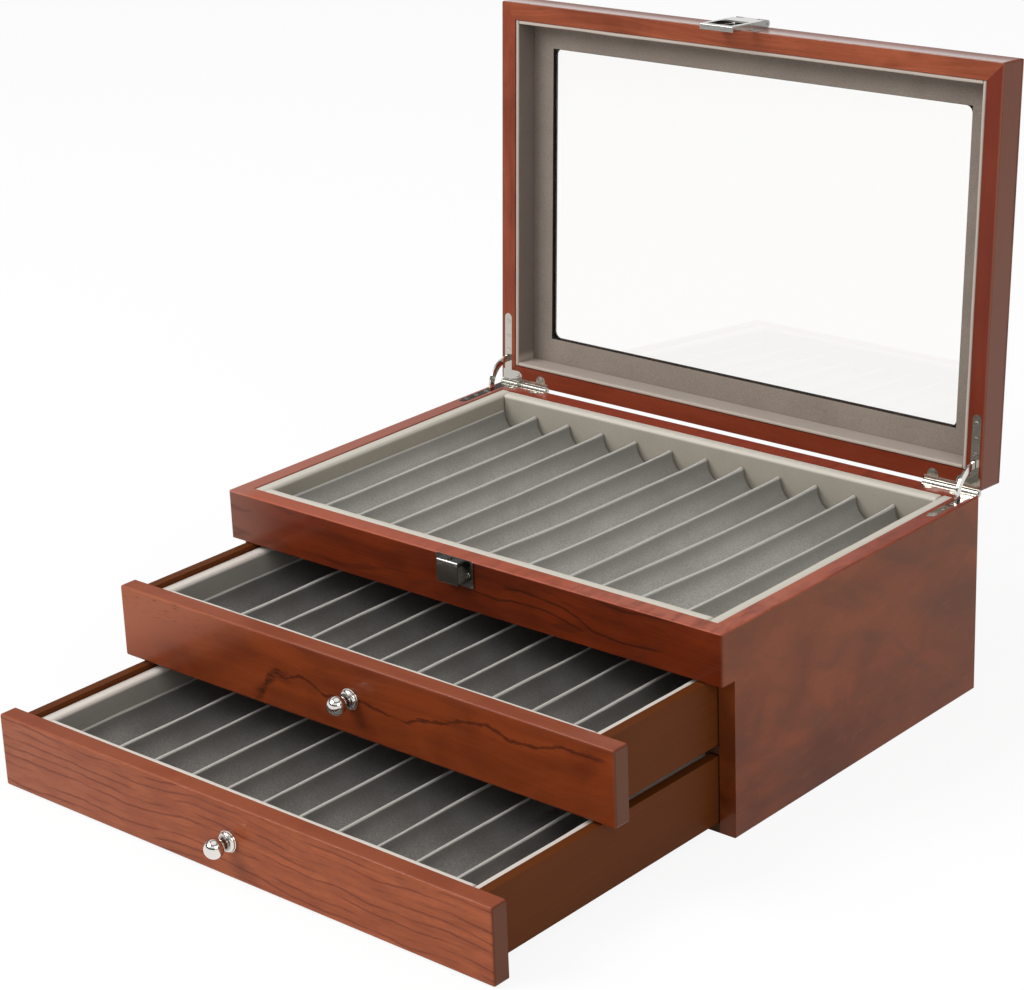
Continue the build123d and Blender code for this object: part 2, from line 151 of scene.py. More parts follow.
class Number:
    """A node's output used as a number: each operator adds its Math node."""

    def __init__(self, sheet, socket):
        self.sheet = sheet
        self.socket = socket

    def reckon(self, operation, *values):
        return self.sheet.node("ShaderNodeMath", {"operation": operation}, dict(enumerate(values)))

    def __add__(self, other):
        return self.reckon("ADD", self, other)

    def __radd__(self, other):
        return self.reckon("ADD", other, self)

    def __sub__(self, other):
        return self.reckon("SUBTRACT", self, other)

    def __rsub__(self, other):
        return self.reckon("SUBTRACT", other, self)

    def __mul__(self, other):
        return self.reckon("MULTIPLY", self, other)

    def __truediv__(self, other):
        return self.reckon("DIVIDE", self, other)

    def __abs__(self):
        return self.reckon("ABSOLUTE", self)

    def root(self):
        return self.reckon("SQRT", self)

    def zigzag(self, reach):
        return self.reckon("PINGPONG", self, reach)

    def at_least(self, other):
        return self.reckon("MAXIMUM", self, other)


class Sheet:
    """The node tree of one finish or of the world."""

    def __init__(self, tree):
        self.tree = tree
        tree.nodes.clear()

    def node(self, kind, settings=None, inputs=None, output=0):
        made = self.tree.nodes.new(kind)
        for name, value in (settings or {}).items():
            setattr(made, name, value)
        for name, value in (inputs or {}).items():
            socket = self.pick(made.inputs, name)
            if isinstance(value, Number):
                self.tree.links.new(value.socket, socket)
            else:
                socket.default_value = value
        return Number(self, self.pick(made.outputs, output)) if made.outputs else None

    @staticmethod
    def pick(sockets, name):
        """A socket by its number, identifier or name."""
        if isinstance(name, int):
            return sockets[name]
        return next(socket for socket in sockets if name in (socket.identifier, socket.name))

    def place(self):
        """X, Y and Z of the surface in millimetres, at rest."""
        point = self.node("ShaderNodeTexCoord", output="Object")
        parts = self.node("ShaderNodeSeparateXYZ", inputs={0: point})
        outputs = parts.socket.node.outputs
        return [Number(self, outputs[axis]) * 1000 for axis in range(3)]

    def vector(self, x, y, z):
        return self.node("ShaderNodeCombineXYZ", inputs={0: x, 1: y, 2: z})

    def noise(self, x, y, z, detail=2.0, roughness=0.5, distortion=0.0):
        return self.node("ShaderNodeTexNoise", inputs={
            "Vector": self.vector(x, y, z), "Scale": 1.0, "Detail": detail,
            "Roughness": roughness, "Distortion": distortion}, output="Fac")

    def fade(self, value, start, end):
        """0 before start, 1 after end, smooth between; start may be the larger."""
        low, high, first, last = (start, end, 0.0, 1.0) if start < end else (end, start, 1.0, 0.0)
        return self.node("ShaderNodeMapRange", {"interpolation_type": "SMOOTHSTEP"}, {
            "Value": value, "From Min": low, "From Max": high, "To Min": first, "To Max": last})

    def ramp(self, value, start, end):
        """0 before start, 1 after end, straight between."""
        return self.node("ShaderNodeMapRange", {"interpolation_type": "LINEAR"}, {
            "Value": value, "From Min": start, "From Max": end, "To Min": 0.0, "To Max": 1.0})

    def mix(self, share, first, second, blend="MIX"):
        return self.node("ShaderNodeMix", {"data_type": "RGBA", "blend_type": blend}, {
            "Factor_Float": share, "A_Color": first, "B_Color": second}, output="Result_Color")

    def bump(self, height, distance):
        return self.node("ShaderNodeBump", inputs={
            "Height": height, "Distance": distance * MM, "Strength": 1.0})

    def surface(self, **inputs):
        sockets = {"Specular_IOR_Level": "Specular IOR Level"}
        shader = self.node("ShaderNodeBsdfPrincipled", inputs={
            sockets.get(name, name.replace("_", " ")): value for name, value in inputs.items()})
        self.node("ShaderNodeOutputMaterial", inputs={"Surface": shader})


def new_finish(name):
    finish = bpy.data.materials.new(name)
    finish.use_nodes = True
    return finish, Sheet(finish.node_tree)


def rgb(red, green, blue):
    return (red, green, blue, 1.0)


# Directions of the grain: each gives the way along the grain, across it and into the board

def grain_right(x, y, z):
    return x, z, y


def grain_back(x, y, z):
    return y, z, x


def grain_lid_right(x, y, z):
    return x, z * math.sin(math.radians(open_angle)) + y * -math.cos(math.radians(open_angle)), y


def grain_lid_back(x, y, z):
    return z, x, y


def in_closed_lid(y, z):
    """Depth and level that a point of the open lid has when the lid is closed."""
    cosine = math.cos(math.radians(open_angle))
    sine = math.sin(math.radians(open_angle))
    away = y - pin_depth
    above = z - pin_level
    return away * cosine - above * sine + pin_depth, away * sine + above * cosine + pin_level


def veneer(name, grain, light, deep, seed, bands=0.5, clouds=0.5, pores=0.5, streaks=0.5, band_width=9.0,
           figure=None, edges=None, tint_and_painted_light=None, lacquer=None):
    """Lacquered, reddish figured veneer, its grain running along one board.

    figure and edges add stains, the case's top edges a painted highlight too; one broad tint is painted light
    on the sides, the fascia and the drawer fronts; lacquer gives the share where the coat is full."""
    roughness = 0.22
    finish, sheet = new_finish(name)
    x, y, z = sheet.place()
    along, across, through = grain(x, y, z)
    drift = sheet.noise(along * 0.007 + seed, across * 0.02, through * 0.02)
    bent = across + (drift - 0.5) * 22
    band = sheet.noise(along * 0.005, bent / band_width + seed, through / band_width, 4.0, 0.6)
    fine = sheet.noise(along * 0.025, bent * 0.9, through * 0.9 + seed, 3.0)
    pore = sheet.noise(along * 0.11, bent * 2.4 + seed, through * 2.4)
    cloud = sheet.noise(along * 0.016, across * 0.024 + seed, through * 0.024, 3.0, 0.5, 0.8)
    tone = 0.55 + (band - 0.5) * (bands * 2.6) + (cloud - 0.5) * (clouds * 2.6) + (fine - 0.5) * streaks
    colour = sheet.mix(sheet.fade(tone, 0.0, 1.0), deep, light)
    dash = sheet.fade(pore, 0.6, 0.72) * pores
    colour = sheet.mix(dash, colour, [c * 0.35 for c in deep[:3]] + [1.0])
    if tint_and_painted_light:
        share, stain = tint_and_painted_light(sheet, x, y, z)
        colour = sheet.mix(share, colour, stain)
    if figure:
        for share, stain in figure(sheet, along, across):
            colour = sheet.mix(share, colour, stain)
    if edges:
        for share, stain in edges(sheet, x, y, z, cloud):
            colour = sheet.mix(share, colour, stain)
    relief = fine * 0.4 - dash * 0.6 + cloud * 0.5
    coat = lacquer(sheet, x, y, z) * 0.88 + 0.12 if lacquer else 0.12
    sheet.surface(Base_Color=colour, Roughness=roughness + 0.14 + (fine - 0.5) * 0.12 + dash * 0.2,
                  Specular_IOR_Level=0.12, Coat_Weight=coat, Coat_Roughness=roughness * 0.5,
                  Normal=sheet.bump(relief, 0.05))
    return finish


def plain_wood(name, grain, light, deep, seed, roughness=0.45):
    """Satin wood of the drawer boxes and inner boards."""
    finish, sheet = new_finish(name)
    along, across, through = grain(*sheet.place())
    stripe = sheet.noise(along * 0.012, across * 0.5 + seed, through * 0.5, 3.0, 0.6)
    fine = sheet.noise(along * 0.08, across * 2.2, through * 2.2 + seed, 2.0)
    tone = 0.5 + (stripe - 0.5) * 0.5 + (fine - 0.5) * 0.35
    colour = sheet.mix(sheet.fade(tone, 0.0, 1.0), deep, light)
    sheet.surface(Base_Color=colour, Roughness=roughness + (fine - 0.5) * 0.2, Specular_IOR_Level=0.05,
                  Normal=sheet.bump(fine, 0.04))
    return finish


def velvet(name, pile, shade, seed, speck=0.16, sheen=0.35, stains_and_painted_light=None):
    """Short-piled cloth: speckled nap over soft patches of leaning pile, plus stains and painted light."""
    finish, sheet = new_finish(name)
    x, y, z = sheet.place()
    nap = sheet.noise(x * 3.1, y * 3.1, z * 3.1 + seed, 3.0, 0.7)
    speckle = sheet.noise(x * 1.15 + seed, y * 1.15, z * 1.15, 2.0, 0.8)
    brushed = sheet.noise(x * 0.03 + seed, y * 0.03, z * 0.03, 3.0, 0.6, 0.5)
    tone = 0.5 + (nap - 0.5) * (speck * 9) + (speckle - 0.5) * (speck * 9) + (brushed - 0.5) * 0.7
    colour = sheet.mix(sheet.fade(tone, 0.0, 1.0), shade, pile)
    if stains_and_painted_light:
        for share, stain in stains_and_painted_light(sheet, x, y, z, nap):
            colour = sheet.mix(share, colour, stain)
    sheet.surface(Base_Color=colour, Roughness=0.92, Sheen_Weight=sheen, Sheen_Roughness=0.45,
                  Sheen_Tint=pile, Specular_IOR_Level=0.15, Normal=sheet.bump(nap, 0.12))
    return finish


def pale_crests_and_painted_shade(level, crest, painted_wall_shade, back, share, deep):
    """Pile rubbed pale along the crests; painted shade on the walls and a painted shadow towards the back."""
    def stains_and_painted_light(sheet, x, y, z, nap):
        dull = sheet.noise(x * 0.05, y * 0.05, level, 2.0)
        ragged = z + (nap - 0.5) * 1.4 + (dull - 0.5) * 0.8
        # painted shade on the walls, painted shadow towards the back, then the rubbed crests
        return [(sheet.fade(z, level - 11.0, level - 1.5) * 0.75, painted_wall_shade),
                (sheet.fade(y, *back) * share, deep),
                (sheet.fade(ragged, level - 1.1, level - 0.3) * 0.8, crest)]
    return stains_and_painted_light


def pale_top_painted_light(level, stain):
    """Cloth painted paler where it turns over the top of its padding: painted light from above."""
    def stains_and_painted_light(sheet, x, y, z, nap):
        return [(sheet.fade(z, level - 2.6, level - 0.9) * 0.9, stain)]
    return stains_and_painted_light


def lid_strip_painted_light(sheet, x, y, z, nap):
    """Painted light: pale at the lid's rim and lighter by the hinges; painted shade: duller on the left strip.
    """
    depth, level = in_closed_lid(y, z)
    return [(sheet.fade(x, -150, -156) * 0.45, rgb(0.11, 0.085, 0.068)),
            (sheet.fade(depth, 96, 101) * 0.8, rgb(0.45, 0.39, 0.34)),
            (sheet.fade(level, rim_level + 1.3, rim_level + 0.6), rgb(0.50, 0.43, 0.37))]


def dark_window_edge(stain):
    """Near black round the cut edge of the window."""
    def stains_and_painted_light(sheet, x, y, z, nap):
        depth, level = in_closed_lid(y, z)
        inside = sheet.fade(abs(x), window_half_width + 0.35, window_half_width + 0.2)
        within = sheet.fade(abs(depth), window_half_depth + 0.35, window_half_depth + 0.2)
        return [(inside * within, stain)]
    return stains_and_painted_light


def polished(name, tint, roughness, tarnish=None):
    """Plated metal, faintly uneven from polishing; tarnish gives the share that has dulled."""
    finish, sheet = new_finish(name)
    x, y, z = sheet.place()
    wave = sheet.noise(x * 0.35, y * 0.35, z * 0.35, 2.0)
    haze = sheet.noise(x * 1.7, y * 1.7, z * 1.7, 3.0, 0.6)
    colour = sheet.mix(haze * 0.25, tint, [c * 0.8 for c in tint[:3]] + [1.0])
    if tarnish:
        colour = sheet.mix(tarnish(sheet, x, y, z), colour, rgb(0.24, 0.22, 0.20))
    sheet.surface(Base_Color=colour, Metallic=1.0, Roughness=roughness + (haze - 0.5) * 0.06,
                  Normal=sheet.bump(wave, 0.06))
    return finish


def clear_glass():
    finish, sheet = new_finish("window_glass")
    x, y, z = sheet.place()
    wave = sheet.noise(x * 0.01, y * 0.01, z * 0.01, 1.0)
    sheet.surface(Base_Color=rgb(0.985, 0.978, 0.962), Roughness=0.0, Transmission_Weight=1.0, IOR=1.45,
                  Normal=sheet.bump(wave, 0.02))
    return finish


# Making pieces

def node_box(name):
    """Lowest and highest corners of a node in millimetres."""
    low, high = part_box(name)
    return low / MM, high / MM


def skin(rings):
    """Points and faces of a piece skinned over rings of points and closed at both ends."""
    count = len(rings[0])
    faces = [tuple(range(count))]
    for first in range(0, (len(rings) - 1) * count, count):
        for number in range(count):
            after = (number + 1) % count
            faces.append((first + number, first + after, first + count + after, first + count + number))
    last = (len(rings) - 1) * count
    faces.append(tuple(range(last, last + count)))
    return [point for ring in rings for point in ring], faces


def joined(shells):
    """Several shells of points and faces as one."""
    points, faces = [], []
    for more_points, more_faces in shells:
        start = len(points)
        points += more_points
        faces += [tuple(start + corner for corner in face) for face in more_faces]
    return points, faces


def add_piece(name, shell, finish, slot, body, *nodes, sharp=40):
    """One object from a shell in millimetres; it rides on a body and may stand for nodes."""
    mesh = bpy.data.meshes.new(name)
    mesh.from_pydata([Vector(point) * MM for point in shell[0]], [], shell[1])
    work = bmesh.new()
    work.from_mesh(mesh)
    bmesh.ops.recalc_face_normals(work, faces=work.faces)
    for face in work.faces:
        face.smooth = True
    work.to_mesh(mesh)
    work.free()
    mesh.set_sharp_from_angle(angle=math.radians(sharp))
    mesh.materials.append(finish)
    piece = bpy.data.objects.new(name, mesh)
    bpy.context.scene.collection.objects.link(piece)
    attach(piece, body)
    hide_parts(*nodes)
    return piece


def dress(finish, *nodes):
    """One finish on every material slot of some nodes."""
    for name in nodes:
        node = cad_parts[name]
        if not node.material_slots:
            node.data.materials.append(finish)
        for place in node.material_slots:
            place.material = finish


# Pen inserts

def channel_profile(pitch):
    """Places across one channel, and the height of the cloth there above the channel's floor."""
    half = pitch / 2
    rise = channel_depth - crest_round
    radius = ((half - crest_half_width) ** 2 + rise ** 2) / (2 * rise)
    near = [0, 0.35, 0.7, 1.0, 1.35, 1.9, 2.8, 4.2, 6.2, 8.6, 10.8]
    places = near + [half] + [pitch - place for place in reversed(near[1:])]
    heights = []
    for place in places:
        away = min(place, pitch - place)
        if away < crest_half_width:
            heights.append(channel_depth - crest_round * (away / crest_half_width) ** 2)
        else:
            run = min(half - away, radius)
            heights.append(max(radius - math.sqrt(radius ** 2 - run ** 2), 0))
    return places, heights


def insert_ring(low, high, channels, depth, drop, seed, lean, growth):
    """The closed outline of an insert at one depth, its crests leaning and swaying a little from straight."""
    pitch = (high.x - low.x) / channels
    places, heights = channel_profile(pitch)
    floor = high.z - channel_depth
    tip = math.exp(-(high.y - depth) / crest_tip_reach) * crest_tip_lift
    reach = ((high.y - depth) / (high.y - low.y)) ** growth
    sways = []
    lifts = []
    for crest in range(channels + 1):
        held = crest in (0, channels)
        sway = crest_sway * noise.noise(Vector((crest * 5.1 + seed, depth * 0.016, 0)))
        sways.append(0 if held else sway + lean[crest] * reach)
        lift = crest_lift * noise.noise(Vector((crest * 3.7, depth * 0.02, seed)))
        lifts.append(lift + (0 if held else tip))
    ring = []
    for channel in range(channels):
        for place, height in zip(places, heights):
            share = place / pitch
            sway = sways[channel] * (1 - share) + sways[channel + 1] * share
            lift = lifts[channel] * (1 - share) + lifts[channel + 1] * share
            raised = height * (1 + lift / channel_depth) - drop
            ring.append((low.x + channel * pitch + place + sway, depth, max(floor + raised, low.z + 1)))
    ring.append((high.x, depth, high.z - drop))
    ring.append((high.x, depth, low.z))
    ring.append((low.x, depth, low.z))
    return ring


def pen_insert(name, node, channels, finish, body, seed, lean, growth=0):
    """A pen insert skinned over rings from front to back, both of its ends rounded.

    Each crest leans by its own millimetres: all along, or with growth above 0 by none at the back and by
    all at the front."""
    low, high = node_box(node)
    edge = 0.9
    spacing = 5
    turns = [math.radians(angle) for angle in (0, 30, 60, 90)]
    ends = [(edge * (1 - math.cos(turn)), edge * (1 - math.sin(turn))) for turn in turns]
    steps = round((high.y - low.y) / spacing)
    stations = [(low.y + into, drop) for into, drop in ends]
    stations += [(low.y + (high.y - low.y) * step / steps, 0) for step in range(1, steps)]
    stations += [(high.y - into, drop) for into, drop in reversed(ends)]
    rings = [insert_ring(low, high, channels, depth, drop, seed, lean, growth) for depth, drop in stations]
    piece = add_piece(name, skin(rings), finish, "velvet", body, node, sharp=60)
    return piece


# Padded linings

def padded_board(start, along, inward, up, length, thickness, height, round_edge, seed):
    """A cloth-covered strip: flat on the wood, rounded over its shown inner edge, faintly uneven."""
    bulge = 0.2
    softness = 0.22
    section = [(0, 0), (0, height - 0.7), (0.25, height - 0.2), (0.8, height)]
    for angle in range(0, 91, 15):
        turn = math.radians(angle)
        section.append((thickness - round_edge + round_edge * math.sin(turn),
                        height - round_edge + round_edge * math.cos(turn)))
    steps = 5
    for step in range(1, steps + 1):
        share = step / steps
        section.append((thickness + bulge * math.sin(math.pi * share), (height - round_edge) * (1 - share)))
    edge = min(0.6, thickness / 4)
    spacing = 6
    stations = [(0, edge), (edge * 0.4, edge * 0.25), (edge, 0)]
    count = max(2, round(length / spacing))
    stations += [(edge + (length - 2 * edge) * step / count, 0) for step in range(1, count)]
    stations += [(length - edge, 0), (length - edge * 0.4, edge * 0.25), (length, edge)]
    rings = []
    for place, shrink in stations:
        ring = []
        for inner, level in section:
            wave = noise.noise(Vector((place * 0.035, inner * 0.1 + level * 0.1, seed)))
            soft = softness * wave if inner > 0.5 and level > 0.5 else 0
            deep = max(inner + soft * (inner / thickness), shrink if inner else 0)
            deep = min(deep, thickness + 0.3 - shrink)
            high = min(level + soft * (level / height) * 0.6, height + 0.1 - shrink)
            ring.append(start + along * place + inward * deep + up * high)
        rings.append(ring)
    return skin(rings)


def lining(half, front, back, low, high, thickness, round_edge, seed, shown_up=True, turn=None):
    """Four strips round the inside of a box: two full-length sides with the front and back between them."""
    x = Vector((1, 0, 0))
    y = Vector((0, 1, 0))
    up = Vector((0, 0, 1 if shown_up else -1))
    base = low if shown_up else high
    height = high - low
    inner = half - thickness - soft_gap
    depth = back - front
    strips = [(half, front, y, -x, depth), (-half, front, y, x, depth),
              (-inner, back, x, -y, 2 * inner), (-inner, front, x, y, 2 * inner)]
    points, faces = joined([
        padded_board(Vector((across, away, base)), along, inward, up, length, thickness, height, round_edge,
                     seed + 3 * number)
        for number, (across, away, along, inward, length) in enumerate(strips)])
    if turn:
        points = [turn @ point for point in points]
    return points, faces


def box_lining(name, node, thickness, finish, body, seed):
    """The padded strips that line the case or a drawer, in place of their node."""
    low, high = node_box(node)
    shell = lining(high.x, low.y, high.y, low.z, high.z, thickness, padding_round, seed)
    return add_piece(name, shell, finish, "lining_fabric", body, node, sharp=60)


def rounded_loop(half_width, half_depth, radius, level, steps=6):
    """Points round a rectangle with rounded corners, at one level."""
    loop = []
    for quarter, (side, end) in enumerate(((1, 1), (-1, 1), (-1, -1), (1, -1))):
        for step in range(steps + 1):
            turn = math.radians(90 * (quarter + step / steps))
            loop.append(Vector((side * (half_width - radius) + radius * math.cos(turn),
                                end * (half_depth - radius) + radius * math.sin(turn), level)))
    return loop


def window_mat(finish):
    """Cloth-covered board behind the window, its cloth turned over the window's edge."""
    shown = panel_level - mat_thickness
    hidden = panel_level
    corner = 0.5
    edge = 0.5
    loops = [rounded_loop(lid_inner_half_width, lid_inner_half_depth, corner, level)
             for level in (hidden, shown)]
    for angle in (0, 30, 60, 90):
        turn = math.radians(angle)
        grow = edge * (1 - math.sin(turn))
        loops.append(rounded_loop(window_half_width + grow, window_half_depth + grow,
                                  window_corner + grow, shown + edge * (1 - math.cos(turn))))
    loops.append(rounded_loop(window_half_width, window_half_depth, window_corner, hidden))
    count = len(loops[0])
    points = [opened @ point for loop in loops for point in loop]
    faces = []
    for first in range(len(loops)):
        second = (first + 1) % len(loops)
        for number in range(count):
            after = (number + 1) % count
            faces.append((first * count + number, first * count + after,
                          second * count + after, second * count + number))
    piece = add_piece("window_mat_cloth", (points, faces), finish, "velvet", "lid", "window_mat", sharp=50)
    return piece


# Turned knobs and cross-head screws

def turned(outline, centre, axis, steps=72):
    """A shell turned about an axis from (height, radius) points; the first and last lie on the axis."""
    axis = axis.normalized()
    side = axis.orthogonal().normalized()
    other = axis.cross(side)
    points = [centre + axis * outline[0][0], centre + axis * outline[-1][0]]
    faces = []
    for height, radius in outline[1:-1]:
        for step in range(steps):
            turn = 2 * math.pi * step / steps
            points.append(centre + axis * height + (side * math.cos(turn) + other * math.sin(turn)) * radius)
    rings = len(outline) - 2
    for ring in range(rings - 1):
        first = 2 + ring * steps
        for step in range(steps):
            after = (step + 1) % steps
            faces.append((first + step, first + after, first + steps + after, first + steps + step))
    last = 2 + (rings - 1) * steps
    for step in range(steps):
        after = (step + 1) % steps
        faces.append((0, 2 + after, 2 + step))
        faces.append((1, last + step, last + after))
    return points, faces


def knob_outline():
    """Stud, domed flange, waisted neck and ball."""
    outline = [(-knob_stud, 0), (-knob_stud, 1.3), (-0.1, 1.3), (0, knob_flange - 0.25),
               (0.12, knob_flange - 0.06), (0.3, knob_flange), (0.65, knob_flange),
               (0.85, knob_flange - 0.1), (0.95, knob_flange - 0.35)]
    dome = knob_flange - knob_neck - 0.65
    for step in range(1, 9):
        turn = math.radians(11.25 * step)
        outline.append((0.95 + 2.0 * math.sin(turn) ** 0.9, knob_neck + 0.3 + dome * math.cos(turn)))
    outline += [(3.3, knob_neck + 0.05), (3.8, knob_neck - 0.1), (4.9, knob_neck - 0.1)]
    start = math.degrees(math.asin(knob_neck / knob_ball))
    steps = 26
    for step in range(steps):
        turn = math.radians(180 - start - (180 - start) * step / steps)
        outline.append((knob_reach + knob_ball * math.cos(turn), knob_ball * math.sin(turn)))
    outline.append((knob_reach + knob_ball, 0))
    return outline


def turned_knob(name, drawer, finish):
    """A drawer's knob, turned about the middle of its node."""
    low, high = node_box(f"{drawer}_knob")
    front = node_box(f"{drawer}_front")[0].y
    centre = Vector(((low.x + high.x) / 2, front, (low.z + high.z) / 2))
    shell = turned(knob_outline(), centre, Vector((0, -1, 0)))
    return add_piece(name, shell, finish, "knob_metal", drawer, f"{drawer}_knob", sharp=35)


def screw_head(centre, axis, radius, proud, turn):
    """A flat head with a rounded rim and a sunk cross."""
    axis = axis.normalized()
    side = Matrix.Rotation(turn, 3, axis) @ axis.orthogonal().normalized()
    other = axis.cross(side)
    arm = radius * 0.68
    half = radius * 0.13
    rim = radius * 0.9
    cross_depth = radius * 0.22
    foot_drop = 0.02
    arc_points = 6
    rim_points = 4 * arc_points
    points = []
    faces = []

    def at(right, ahead, height):
        points.append(centre + side * right + other * ahead + axis * height)
        return len(points) - 1

    def circle(distance, height, angles):
        return [at(distance * math.cos(a), distance * math.sin(a), height) for a in angles]

    open_half = math.asin(half / rim)
    angles = []
    for quarter in range(4):
        base = quarter * math.pi / 2
        span = math.pi / 2 - 2 * open_half
        angles += [base + open_half + span * step / (arc_points - 1) for step in range(arc_points)]
    flat = circle(rim, proud, angles)
    outer = circle(radius, proud * 0.45, angles)
    foot = circle(radius, -foot_drop, angles)
    cross = []
    for quarter in range(4):
        turned_by = Matrix.Rotation(quarter * math.pi / 2, 2)
        cross.append([turned_by @ Vector(point) for point in ((arm, half), (half, half), (half, arm))])
    top = [[at(point.x, point.y, proud) for point in trio] for trio in cross]
    sunk = [[at(point.x * 0.8, point.y * 0.8, proud - cross_depth) for point in trio] for trio in cross]
    for quarter in range(4):
        arc = flat[quarter * arc_points:(quarter + 1) * arc_points]
        right, inner, ahead = top[quarter]
        faces.append((right, *arc, ahead, inner))
        following = (quarter + 1) % 4
        faces.append((ahead, arc[-1], flat[following * arc_points], top[following][0]))
        outline = [right, inner, ahead, top[following][0]]
        under = [*sunk[quarter], sunk[following][0]]
        for number in range(3):
            faces.append((outline[number], outline[number + 1], under[number + 1], under[number]))
    faces.append(tuple(corner for trio in sunk for corner in trio))
    for upper, lower in ((flat, outer), (outer, foot)):
        for number in range(rim_points):
            after = (number + 1) % rim_points
            faces.append((upper[number], upper[after], lower[after], lower[number]))
    faces.append(tuple(foot))
    return points, faces


def add_screws(name, places, radius, proud, finish, body, turn=None):
    """A group of screws: each place is the centre of a head's foot and the way that it faces."""
    shells = []
    for number, (centre, axis) in enumerate(places):
        points, faces = screw_head(Vector(centre), Vector(axis), radius, proud,
                                   turn=0.5 + 1.3 * number)
        shells.append(([turn @ point for point in points] if turn else points, faces))
    return add_piece(name, joined(shells), finish, "hinge_metal", body, sharp=30)


def plate_screw_places(spread, depth, level):
    """Two places on the front, one at each side of the latch's middle."""
    return [((latch_offset + sign * spread, depth, level), (0, -1, 0)) for sign in (-1, 1)]


# Finishes

def top_lipping_and_painted_highlight(sheet, x, y, z, cloud):
    """Redder lipping on the case's top, blotched at right; painted highlight palest at the front and left."""
    top = sheet.fade(z, case_top - 1.2, case_top - 0.3)
    blotch = sheet.fade(sheet.noise(x * 0.12, y * 0.045, 3.0, 3.0, 0.6), 0.42, 0.66)
    # painted highlight: paler towards the front, and paler and pinker at the left end
    front = sheet.fade(y, 90, -90)
    left = sheet.fade(x, -150, -163) * 0.7
    tone = sheet.mix(front, rgb(0.30, 0.050, 0.024), rgb(0.43, 0.105, 0.055))
    tone = sheet.mix(left, tone, rgb(0.42, 0.17, 0.13))
    return [(top * 0.92, tone), (top * blotch * sheet.fade(x, -150, 165) * 0.7, rgb(0.17, 0.032, 0.014))]


def front_edges(level, end):
    """Top edge of a drawer front, redder than its face, and the darker wood of its right end."""
    def edges(sheet, x, y, z, cloud):
        top = sheet.fade(z, level - 0.9, level - 0.2)
        tone = sheet.mix(sheet.fade(cloud, 0.35, 0.65), rgb(0.32, 0.082, 0.036), rgb(0.25, 0.057, 0.024))
        return [(top * 0.8, tone), (sheet.fade(x, *front_right_end) * 0.95, end)]
    return edges


def through_points(sheet, along, points):
    """Place across the board of a line drawn through (along, across) points."""
    line = points[0][1]
    for (start, low), (end, high) in zip(points, points[1:]):
        line = line + sheet.ramp(along, start, end) * (high - low)
    return line


def vein(sheet, along, across, points, width, fray, seed):
    """A thin dark vein drawn through points, jagged along the grain, faint at both ends."""
    ragged = (sheet.noise(along * 0.14, across * 0.5, seed, 3.0, 0.75) - 0.5) * fray
    waver = sheet.noise(along * 0.05, seed, 1.0, 2.0)
    away = abs(across + ragged - through_points(sheet, along, points))
    first = points[0][0]
    last = points[-1][0]
    ends = sheet.fade(along, first - 4, first + 6) * sheet.fade(along, last + 4, last - 8)
    return sheet.fade(away, width, width * 0.25) * ends * sheet.fade(waver, 0.25, 0.5)


def fascia_figure(sheet, along, across):
    """Three thin veins and dark blots, after the photograph."""
    upper = vein(sheet, along, across, ((28, 103), (43, 105), (61, 103.6), (70, 102.8), (80, 99.6),
                                        (90, 94.5), (110, 93), (134, 95)), 1.0, 1.4, 2.0)
    lower = vein(sheet, along, across, ((8, 97.4), (28, 96), (36, 97.8), (55, 98.2), (63, 97.6), (78, 94.3),
                                        (90, 91)), 0.9, 1.2, 7.0)
    high = vein(sheet, along, across, ((92, 112), (108, 110.2), (122, 111.6), (148, 112.8)), 1.0, 1.6, 4.0)
    blot = sheet.fade(sheet.noise(along * 0.02, across * 0.09, 8.0, 2.0, 0.5, 1.0), 0.56, 0.68)
    dark = rgb(0.026, 0.006, 0.002)
    return [(blot * 0.35, dark), (upper * 0.7, dark), (lower * 0.7, dark), (high * 0.6, dark)]


def upper_front_figure(sheet, along, across):
    """One long jagged vein, a flame at its left end and dashes beyond it, after the photograph."""
    main = vein(sheet, along, across, ((-46, 63), (-36, 67), (-28, 65.5), (-18, 61), (5, 65), (22, 63),
                                       (38, 61.6), (46, 65.4), (65, 68.7), (73, 72.4), (93, 75.4),
                                       (106, 71.4), (123, 72.4), (137, 77), (165, 77.2)), 1.35, 5.0, 5.0)
    jagged = sheet.fade(sheet.noise(along * 0.09, across * 1.1, 2.0, 2.0, 0.6), 0.40, 0.54)
    flame = vein(sheet, along, across, ((-70, 47), (-64, 51), (-59, 59), (-52, 65), (-42, 63)),
                 5.0, 7.0, 12.0)
    flame = flame * (jagged * 0.75 + 0.25)
    dashes = sheet.fade(sheet.noise(along * 0.13, across * 1.6, 6.0, 1.0), 0.62, 0.72)
    dashes = dashes * sheet.fade(along, -60, -95) * sheet.fade(across, 66, 74)
    dark = rgb(0.045, 0.009, 0.003)
    return [(main * 0.75, dark), (flame * 0.9, dark), (dashes * 0.55, dark)]


def lower_front_figure(sheet, along, across):
    """Fine dark growth lines that rise over the knob."""
    drift = (sheet.noise(along * 0.012, across * 0.012, 3.0, 2.0) - 0.5) * 15
    ripple = (sheet.noise(along * 0.05, across * 0.10, 9.0, 3.0, 0.65) - 0.5) * 2.6
    arch = sheet.fade(abs(along + 6), 62, 0) * -5.0
    wave = (across + drift + ripple + arch).zigzag(2.4)
    shown = sheet.fade(sheet.noise(along * 0.018, across * 0.16, 5.0, 2.0), 0.38, 0.58)
    line = sheet.fade(wave, 0.95, 0.1) * shown
    mottle = sheet.fade(sheet.noise(along * 0.05, across * 0.12, 12.0, 3.0, 0.6), 0.40, 0.62)
    return [(mottle * 0.35, rgb(0.20, 0.044, 0.018)), (line * 0.6, rgb(0.105, 0.016, 0.007))]


